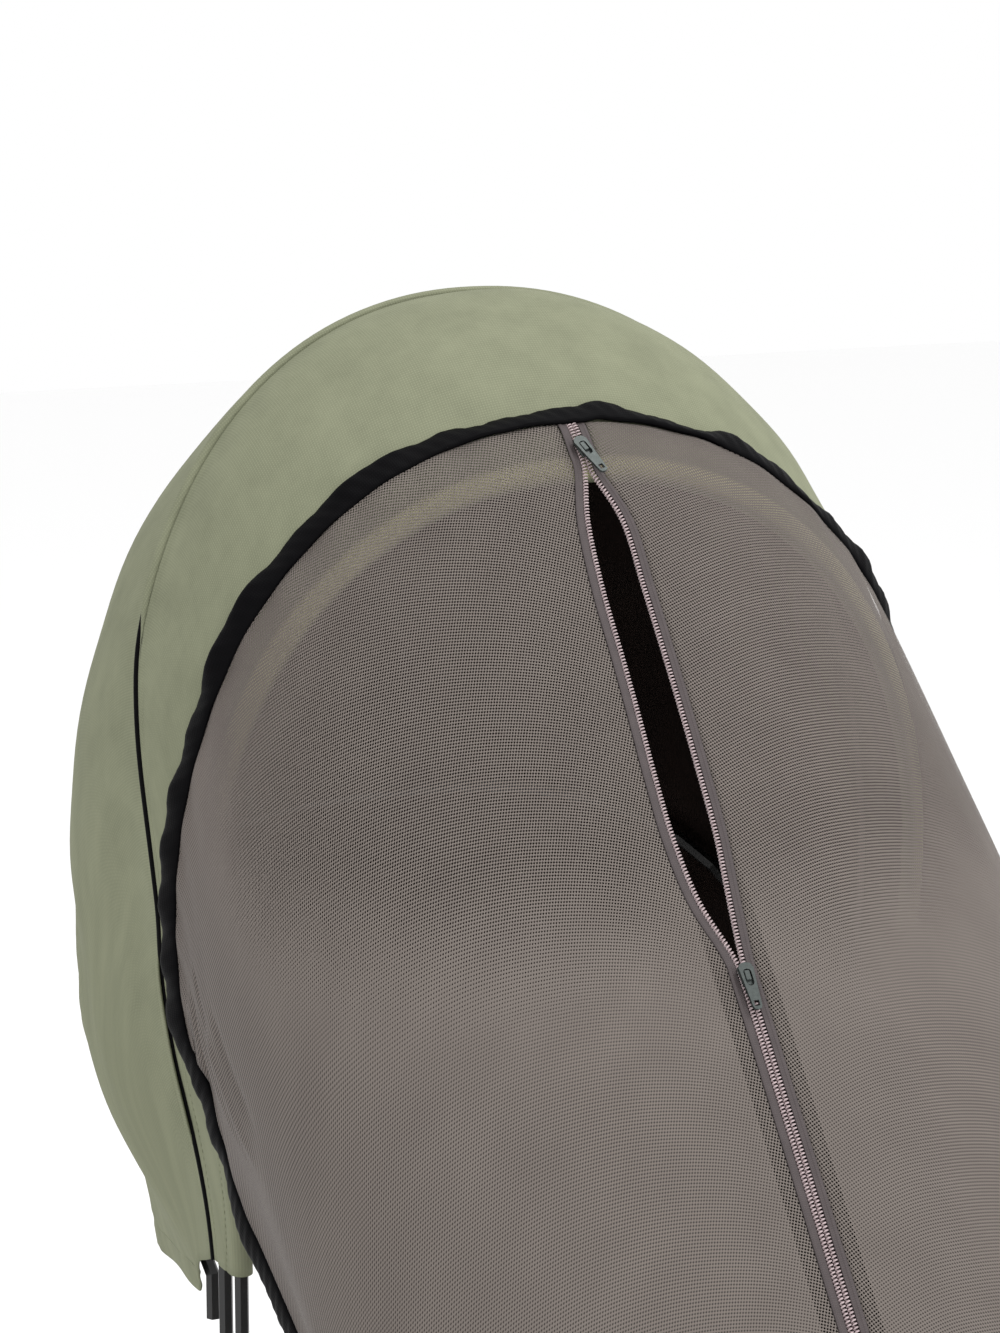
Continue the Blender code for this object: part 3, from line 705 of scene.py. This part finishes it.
def casing_pull(grid, normals, side):
    """Small gathers that run a short way into the net from the elastic casing."""
    edge = cut_map(grid)
    into = edge[..., 1]
    phase = edge[:1, :, 0] * 2 * math.pi / 0.034 + 1.3 * np.sin(edge[:1, :, 0] * 21.0 + side)
    lift = np.sin(phase) * np.exp(-into / 0.018) * np.clip(into / 0.004, 0, 1) * 0.0010
    return grid + normals * lift[..., None]


HOLE_PITCH = 0.0016
KNIT_LEAN = 65
# The holes are open above one height and closed below the next, and the same away from the zip
OPEN_ABOVE, CLOSED_BELOW = -0.24, -0.36
OPEN_WITHIN, CLOSED_BEYOND = 0.24, 0.33
OVER_GUARD, BESIDE_GUARD = 0.0162, 0.0178
CLOSED = 2.3


def knitted_mesh(name, thread_dark, thread_light, hole_shade_colour, hole_limit):
    # Sheer warp-knit polyester. The real holes are 1.15 mm apart and are drawn 1.6 mm apart,
    # in rows that lean away from the zip, so that they show in the render
    made, shader = new_material(name, 0.78)
    shader.inputs["Specular IOR Level"].default_value = 0.2
    shader.inputs["Sheen Weight"].default_value = 0.08
    place = add(made, "ShaderNodeUVMap", {"uv_map": "cut"}).outputs["UV"]
    flat = add(made, "ShaderNodeSeparateXYZ", {}, {"Vector": place})
    from_zip = add(made, "ShaderNodeMath", {"operation": "ABSOLUTE"}, {0: flat.outputs["X"]})
    waves = []
    for lean in (math.radians(KNIT_LEAN), math.radians(KNIT_LEAN - 90)):
        across = add(made, "ShaderNodeMath", {"operation": "MULTIPLY", 1: math.cos(lean)},
                     {0: from_zip.outputs["Value"]})
        slant = add(made, "ShaderNodeMath", {"operation": "MULTIPLY_ADD", 1: math.sin(lean)},
                    {0: flat.outputs["Y"], 2: across.outputs["Value"]})
        phase = add(made, "ShaderNodeMath", {"operation": "MULTIPLY", 1: 2 * math.pi / HOLE_PITCH},
                    {0: slant.outputs["Value"]})
        waves.append(add(made, "ShaderNodeMath", {"operation": "COSINE"}, {0: phase.outputs["Value"]}))
    height = add(made, "ShaderNodeMath", {"operation": "ADD"},
                 {0: waves[0].outputs["Value"], 1: waves[1].outputs["Value"]})
    # Lower down and round the sides the knit is less stretched and its holes close; there painted shade darkens
    # each hole to a dark pit, standing in for the dark inside seen through open holes
    here = add(made, "ShaderNodeTexCoord")
    tall = add(made, "ShaderNodeSeparateXYZ", {}, {"Vector": here.outputs["Object"]})
    low_down = add(made, "ShaderNodeMapRange", {
        "interpolation_type": "SMOOTHSTEP", "From Min": OPEN_ABOVE, "From Max": CLOSED_BELOW,
        "To Min": 0.0, "To Max": CLOSED}, {"Value": tall.outputs["Z"]})
    off_zip = add(made, "ShaderNodeMapRange", {"From Min": OVER_GUARD, "From Max": BESIDE_GUARD},
                  {"Value": from_zip.outputs["Value"]})
    at_side = add(made, "ShaderNodeMapRange", {
        "interpolation_type": "SMOOTHSTEP", "From Min": OPEN_WITHIN, "From Max": CLOSED_BEYOND,
        "To Min": 0.0, "To Max": CLOSED}, {"Value": from_zip.outputs["Value"]})
    closing_and_shade = add(made, "ShaderNodeMath", {"operation": "MULTIPLY_ADD"},
                {0: low_down.outputs["Result"], 1: off_zip.outputs["Result"], 2: at_side.outputs["Result"]})
    stretched = add(made, "ShaderNodeMath", {"operation": "SUBTRACT"},
                    {0: height.outputs["Value"], 1: closing_and_shade.outputs["Value"]})
    solid = add(made, "ShaderNodeMapRange", {"From Min": hole_limit + 0.35, "From Max": hole_limit - 0.35,
                                             "To Min": 0.0, "To Max": 1.0}, {"Value": stretched.outputs["Value"]})
    cloud = add(made, "ShaderNodeTexNoise", {"Scale": 26.0, "Detail": 3.0}, {"Vector": place})
    thread = add(made, "ShaderNodeMix", {"data_type": "RGBA", 6: colour(thread_dark), 7: colour(thread_light)},
                 {0: cloud.outputs["Fac"]})
    # Painted shade: each hole darkens towards the shade colour where the holes are closed, more lower down and
    # round the sides
    hole_shade = add(made, "ShaderNodeMapRange", {"From Min": -0.1, "From Max": 1.5, "To Min": 0.0, "To Max": 0.85},
              {"Value": height.outputs["Value"]})
    depth = add(made, "ShaderNodeMath", {"operation": "MULTIPLY"},
                {0: hole_shade.outputs["Result"], 1: closing_and_shade.outputs["Value"]})
    shown = add(made, "ShaderNodeMath", {"operation": "MULTIPLY", 1: 0.46, "use_clamp": True},
                {0: depth.outputs["Value"]})
    tint = add(made, "ShaderNodeMix", {"data_type": "RGBA", 7: colour(hole_shade_colour)},
               {0: shown.outputs["Value"], 6: thread.outputs[2]})
    round_thread = add(made, "ShaderNodeMath", {"operation": "MULTIPLY", 1: -1.0}, {0: height.outputs["Value"]})
    bump = add(made, "ShaderNodeBump", {"Strength": 0.25, "Distance": 0.0002},
               {"Height": round_thread.outputs["Value"]})
    made.node_tree.links.new(tint.outputs[2], shader.inputs["Base Color"])
    made.node_tree.links.new(solid.outputs["Result"], shader.inputs["Alpha"])
    made.node_tree.links.new(bump.outputs["Normal"], shader.inputs["Normal"])
    return made


# The third colour is the painted shade in the net's closed holes
net_knit = knitted_mesh("knitted_mosquito_mesh", "#6d6560", "#7a726c", "#221c1a", 0.20)
panels = {}
for side, label in ((-1, "left"), (1, "right")):
    smooth_net = panel_grid(side)
    net_out = grid_normals(smooth_net, NET_MIDDLE)
    net_map = cut_map(smooth_net)
    shift = np.array([lip(s, side) + COIL_RADIUS + TAPE_WIDTH + 2 * SEAM_GAP for s in NET_STATIONS])[:, None]
    net_map[..., 0] = side * (net_map[..., 0] + shift)
    lines = PULL_LINES if side < 0 else [(1.6, 0.400, 3.4, 0.360, 0.0070, 0.0012)]
    shaped = pull_lines(smooth_net, net_out, np.abs(net_map[..., 0]), lines)
    shaped = casing_pull(shaped, net_out, side)
    panel = cloth(f"mesh_panel_{label}", shaped, net_map, NET_MIDDLE, NET_THICKNESS, net_knit)
    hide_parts(f"net_panel_{label}")
    panels[side] = shaped


# Elastic casing round the net
# A black tape folded over the net's raw edge with elastic inside, which draws it up in
# small puckers. Its ends overlap in a step at the top of the zip.

CASING_WIDTH = 0.0145
CASING_HEIGHT = 0.0050
CASING_LAP = 0.0010
CASING_STEP = 0.0026


def casing_edge():
    """The net's edge as a closed loop of points with the outward normal at each."""
    points, outs = [], []
    left, right = panels[-1], panels[1]
    left_out, right_out = grid_normals(left, NET_MIDDLE), grid_normals(right, NET_MIDDLE)
    runs = [(left[0, ::-1], left_out[1, ::-1]), (right[0], right_out[1]),
            (right[1:-1, -1], right_out[1:-1, -2]), (right[-1, ::-1], right_out[-2, ::-1]),
            (left[-1], left_out[-2]), (left[-2:0:-1, -1], left_out[-2:0:-1, -2])]
    for run, out in runs:
        points.append(run)
        outs.append(out)
    return np.vstack(points), np.vstack(outs)


def even_loop(points, outs, step):
    """The loop read again at even steps, with its normals smoothed."""
    closed, closed_outs = np.vstack([points, points[:1]]), np.vstack([outs, outs[:1]])
    lengths = arc_lengths(closed)
    at = np.linspace(0.0, lengths[-1], int(lengths[-1] / step), endpoint=False)
    line = np.stack([np.interp(at, lengths, closed[:, k]) for k in range(3)], axis=1)
    out = np.stack([np.interp(at, lengths, closed_outs[:, k]) for k in range(3)], axis=1)
    for _ in range(12):
        line = (np.roll(line, 1, axis=0) + 2 * line + np.roll(line, -1, axis=0)) / 4
        out = (np.roll(out, 1, axis=0) + 2 * out + np.roll(out, -1, axis=0)) / 4
    return line, unit(out), at


casing_line, casing_out, casing_at = even_loop(*casing_edge(), CASING_STEP)
casing_along = unit(np.roll(casing_line, -1, axis=0) - np.roll(casing_line, 1, axis=0))
casing_out = unit(casing_out - casing_along * np.einsum("ij,ij->i", casing_out, casing_along)[:, None])
casing_away = np.cross(casing_out, casing_along)
step_at = casing_at[np.argmin(np.linalg.norm(casing_line - panels[1][0, 0], axis=1))]
rings = []
for i, point in enumerate(casing_line):
    at = casing_at[i]
    drawn = 1.6 * noise.noise(Vector((at * 30.0, 0.0, 0.0))) + 0.25 * math.sin(at * 2 * math.pi / 0.041)
    small = noise.noise(Vector((at * 95.0, 4.0, 0.0)))
    width = CASING_WIDTH + 0.0012 * drawn + 0.0004 * small
    height = CASING_HEIGHT * (1 + 0.12 * drawn + 0.06 * small)
    past = at - step_at
    overlap = 0.0023 * float(smooth_step(past, -0.002, 0.008)) * math.exp(-max(past - 0.012, 0.0) / 0.02)
    middle = point + casing_away[i] * (width / 2 - CASING_LAP + overlap)
    middle = lifted(middle, CASING_LIFT - 0.0004)
    ring = []
    for a in np.linspace(0, 2 * math.pi, 18, endpoint=False):
        flatten = math.copysign(abs(math.sin(a)) ** 0.75, math.sin(a))
        crease = 0.0004 * math.sin(2 * math.pi * at / 0.0092 + 3 * math.cos(a)) * max(0.0, math.sin(a))
        ring.append(middle + casing_away[i] * math.cos(a) * width / 2
                    + casing_out[i] * (flatten * height / 2 + crease))
    rings.append(ring)
casing = ring_mesh("elastic_casing", np.array(rings), black, closed=True)
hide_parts("edge_binding")


# Zip tapes and guard
# Woven polyester tapes, of which a 4.5 mm strip shows beside the coil, and a dark strip of
# mesh sewn behind the closed part of the zip.

def zip_tape_weave():
    # Mauve-grey herringbone tape; ribs 0.4 mm apart are drawn at 1.2 mm so that they show
    made, shader = new_material("zip_tape_polyester", 0.7)
    place = add(made, "ShaderNodeUVMap", {"uv_map": "cut"}).outputs["UV"]
    woven(made, shader, place, 1.2, 0.5, "#393233", "#504747", 120.0)
    return made


tape_finish = zip_tape_weave()
# The third colour is the painted shade in the guard's holes
guard_knit = knitted_mesh("dark_guard_mesh", "#1d1a18", "#28231f", "#100e0d", 3.0)
for side, label in ((-1, "left"), (1, "right")):
    rows = []
    for station in NET_STATIONS:
        inner = lip(station, side) + COIL_RADIUS + SEAM_GAP
        rows.append(net_line(station, side, np.linspace(inner, inner + TAPE_WIDTH, 9)))
    tape_grid = np.stack(rows)
    tape_out = grid_normals(tape_grid, NET_MIDDLE)
    ridge = np.exp(-((np.linspace(0, 1, 9) - 0.72) / 0.18) ** 2) * 0.0005
    tape_grid = tape_grid + tape_out * ridge[None, :, None]
    tape = cloth(f"zip_tape_strip_{label}", tape_grid, cut_map(tape_grid), NET_MIDDLE, TAPE_THICKNESS,
                 tape_finish)
    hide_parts(f"zip_tape_{label}")

GUARD_START = 3.68
GUARD_HALF_WIDTH = 0.020
GUARD_THICKNESS = 0.0005
GUARD_DEPTH = 0.0021
guard_stations = NET_STATIONS[NET_STATIONS > GUARD_START]
reach = np.linspace(-GUARD_HALF_WIDTH, GUARD_HALF_WIDTH, 21)
guard_grid = np.stack([
    np.array([net_line(s, 1 if d >= 0 else -1, np.array([abs(d)]))[0] for d in reach]) for s in guard_stations])
guard_out = grid_normals(guard_grid, NET_MIDDLE)
guard_grid = guard_grid - guard_out * GUARD_DEPTH
guard = cloth("zip_guard_strip", guard_grid, cut_map(guard_grid, 10), NET_MIDDLE, GUARD_THICKNESS,
              guard_knit)
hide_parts("zip_guard")


# Zip coils
# Each side is one nylon filament wound in a flattened helix, the two interlocking where the
# zip is closed. Its turns, 1.4 mm apart, are drawn 1.9 mm apart so that they show.

COIL_PITCH = 0.0019
WIRE_RADIUS = 0.00048


def coil_nylon():
    # Glossy mauve-pink nylon that catches the light on each turn
    made, shader = new_material("zip_coil_nylon", 0.34)
    shader.inputs["Coat Weight"].default_value = 0.3
    place = add(made, "ShaderNodeTexCoord")
    cloud = add(made, "ShaderNodeTexNoise", {"Scale": 220.0, "Detail": 2.0}, {"Vector": place.outputs["Object"]})
    tint = add(made, "ShaderNodeMix", {"data_type": "RGBA", 6: colour("#a59395"), 7: colour("#c6b4b5")},
               {0: cloud.outputs["Fac"]})
    made.node_tree.links.new(tint.outputs[2], shader.inputs["Base Color"])
    return made


nylon = coil_nylon()
for side, label in ((-1, "left"), (1, "right")):
    line = np.stack([net_line(s, side, np.array([lip(s, side)]))[0] for s in NET_STATIONS])
    lengths = arc_lengths(line)
    turns = int(lengths[-1] / COIL_PITCH)
    at = np.linspace(0.0, lengths[-1], turns * 9)
    spine = np.stack([np.interp(at, lengths, line[:, k]) for k in range(3)], axis=1)
    for _ in range(60):
        spine[1:-1] = (spine[:-2] + 2 * spine[1:-1] + spine[2:]) / 4
    along = unit(np.gradient(spine, axis=0))
    out = unit(np.cross(along, np.array([1.0, 0.0, 0.0])))
    out = out * np.sign(np.dot(out[len(out) // 2], np.array([0.0, -0.6, 0.8])))
    across = np.cross(out, along)
    angle = 2 * math.pi * at / COIL_PITCH + (0 if side < 0 else math.pi)
    wire = spine + across * (np.cos(angle) * 0.00120)[:, None] + out * (np.sin(angle) * 0.00085)[:, None]
    coil = tube_mesh(f"zip_coil_winding_{label}", wire, WIRE_RADIUS, 5, nylon)
    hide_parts(f"zip_coil_{label}")


# Sliders and pulls
# Die-cast zinc with a dark grey-green enamel.

def enamelled_zinc():
    # Satin enamel over zinc: smooth, softly glossy, with a fine cast grain
    made, shader = new_material("enamelled_zinc", 0.36, 0.6)
    place = add(made, "ShaderNodeTexCoord")
    grain = add(made, "ShaderNodeTexNoise", {"Scale": 700.0, "Detail": 3.0}, {"Vector": place.outputs["Object"]})
    tint = add(made, "ShaderNodeMix", {"data_type": "RGBA", 6: colour("#363b39"), 7: colour("#515755")},
               {0: grain.outputs["Fac"]})
    bump = add(made, "ShaderNodeBump", {"Strength": 0.15, "Distance": 0.0001}, {"Height": grain.outputs["Fac"]})
    made.node_tree.links.new(tint.outputs[2], shader.inputs["Base Color"])
    made.node_tree.links.new(bump.outputs["Normal"], shader.inputs["Normal"])
    return made


zinc = enamelled_zinc()
for node in ("zip_slider_top", "zip_slider_lower", "zip_pull_top", "zip_pull_lower"):
    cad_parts[node].data.materials.clear()
    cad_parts[node].data.materials.append(zinc)


# Floor, light and camera
# A plain pale floor under the part, soft studio light from above and in front, and the
# camera at the photograph's angle: 25 degrees to the part's left and 11 degrees above it.

def pale_floor_finish():
    made, shader = new_material("pale_studio_floor", 0.9)
    shader.inputs["Base Color"].default_value = (0.97, 0.97, 0.97, 1.0)
    return made


lowest = CAD_BOX[0][2]
bpy.ops.object.select_all(action="DESELECT")
bpy.ops.mesh.primitive_plane_add(size=14.0, location=(0.0, 0.0, lowest - 0.05))
floor = bpy.context.object
floor.name = "studio_floor"
floor.data.materials.append(pale_floor_finish())

world = bpy.data.worlds.new("studio")
bpy.context.scene.world = world
world.use_nodes = True
world.node_tree.nodes["Background"].inputs["Color"].default_value = (1.0, 1.0, 1.0, 1.0)
world.node_tree.nodes["Background"].inputs["Strength"].default_value = 1.0
bpy.context.scene.view_settings.view_transform = "Standard"

for name, place, aim, size, power in (
        ("key", (0.7, -0.9, 2.2), (0.0, -0.1, -0.2), 1.4, 34.0),
        ("fill", (1.9, -1.0, 0.6), (0.0, -0.2, -0.3), 1.6, 7.0)):
    lamp = bpy.data.lights.new(name, "AREA")
    lamp.size = size
    lamp.energy = power
    holder = bpy.data.objects.new(name, lamp)
    holder.location = place
    holder.rotation_euler = (Vector(aim) - Vector(place)).to_track_quat("-Z", "Y").to_euler()
    bpy.context.scene.collection.objects.link(holder)

AZIMUTH, ELEVATION = math.radians(-25), math.radians(11)
backwards = Vector((math.sin(AZIMUTH) * math.cos(ELEVATION), -math.cos(AZIMUTH) * math.cos(ELEVATION),
                    math.sin(ELEVATION)))
view = bpy.data.cameras.new("photo_view")
view.sensor_width = 36.0
view.lens = 3750 / 1333 * 36.0
eye = bpy.data.objects.new("photo_view", view)
eye.location = Vector((-0.874015, -1.789993, 0.700137)) + HINGE
eye.rotation_euler = backwards.to_track_quat("Z", "Y").to_euler()
bpy.context.scene.collection.objects.link(eye)
bpy.context.scene.camera = eye
